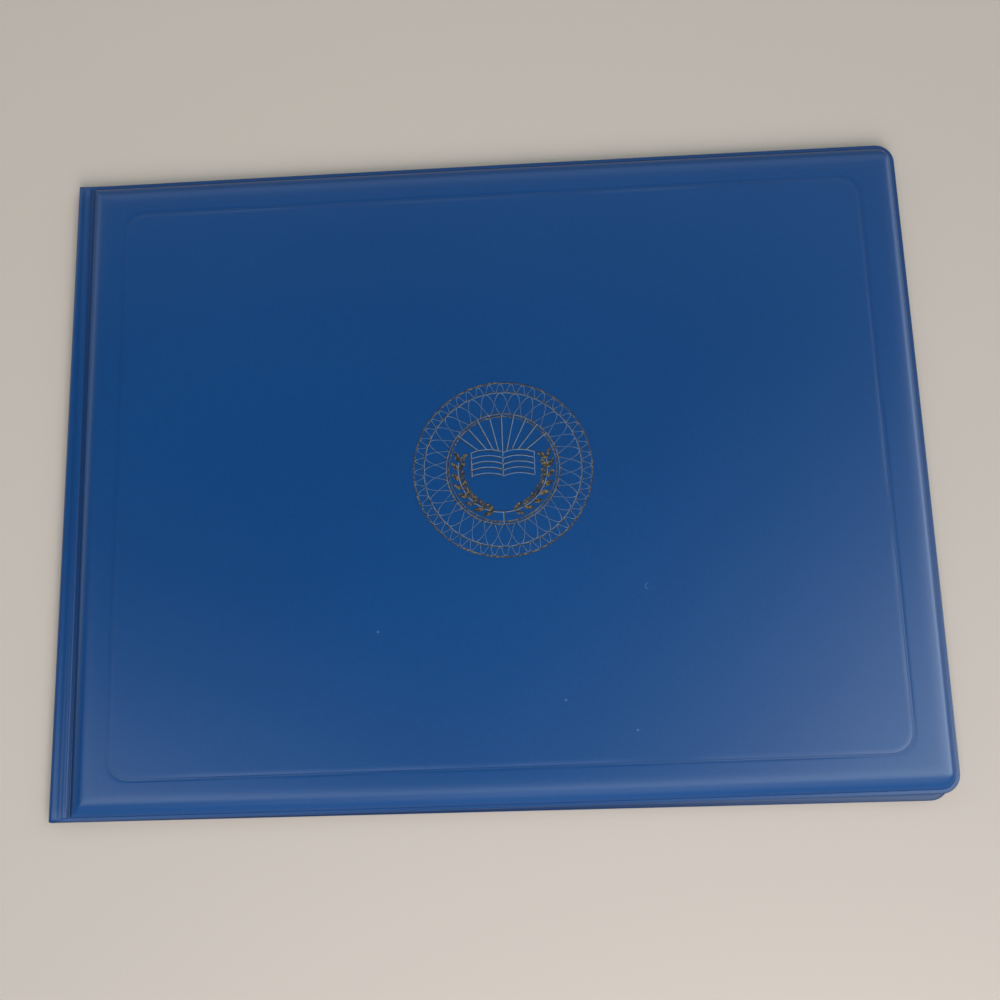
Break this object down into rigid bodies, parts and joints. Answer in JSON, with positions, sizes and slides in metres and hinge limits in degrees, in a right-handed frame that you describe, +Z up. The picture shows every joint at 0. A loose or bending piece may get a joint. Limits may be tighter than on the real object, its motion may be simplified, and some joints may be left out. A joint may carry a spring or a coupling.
{
  "type": "diploma cover",
  "caption": "Padded vinyl diploma cover with a folded spine, a foil seal on its front and a certificate pocket with a clear window inside.",
  "frame": {"origin": "under the middle of the closed cover, on the surface it lies on", "axes": "+X from the spine to the fore-edge, +Y up the page, +Z up through the front cover"},
  "size_m": [0.304, 0.2336, 0.0077],
  "materials": {
    "outer_vinyl": "satin",
    "lining_vinyl": "satin",
    "chipboard": "matte",
    "foam": "matte",
    "clear_sheet": "gloss",
    "foil": "satin"
  },
  "bodies": {
    "back_cover": {"back_outer_skin": "outer_vinyl", "back_foam_pad": "foam", "back_board": "chipboard", "back_lining": "lining_vinyl", "certificate_frame": "lining_vinyl", "clear_window": "clear_sheet"},
    "spine": {"spine_outer_skin": "outer_vinyl", "spine_lining": "lining_vinyl"},
    "front_cover": {"front_outer_skin": "outer_vinyl", "front_foam_pad": "foam", "front_board": "chipboard", "front_lining": "lining_vinyl", "cover_seal": "foil"}
  },
  "joints": [
    {"name": "spine_hinge", "type": "hinge", "parent": "back_cover", "child": "spine", "pos_m": [-0.1508, 0, 0.0026], "axis": [0, -1, 0], "range_deg": [0, 90]},
    {"name": "cover_hinge", "type": "hinge", "parent": "spine", "child": "front_cover", "pos_m": [-0.1508, 0, 0.005], "axis": [0, -1, 0], "range_deg": [0, 90]}
  ],
  "couplings": [
    {"joint": "spine_hinge", "follows": "cover_hinge", "ratio": 1}
  ]
}
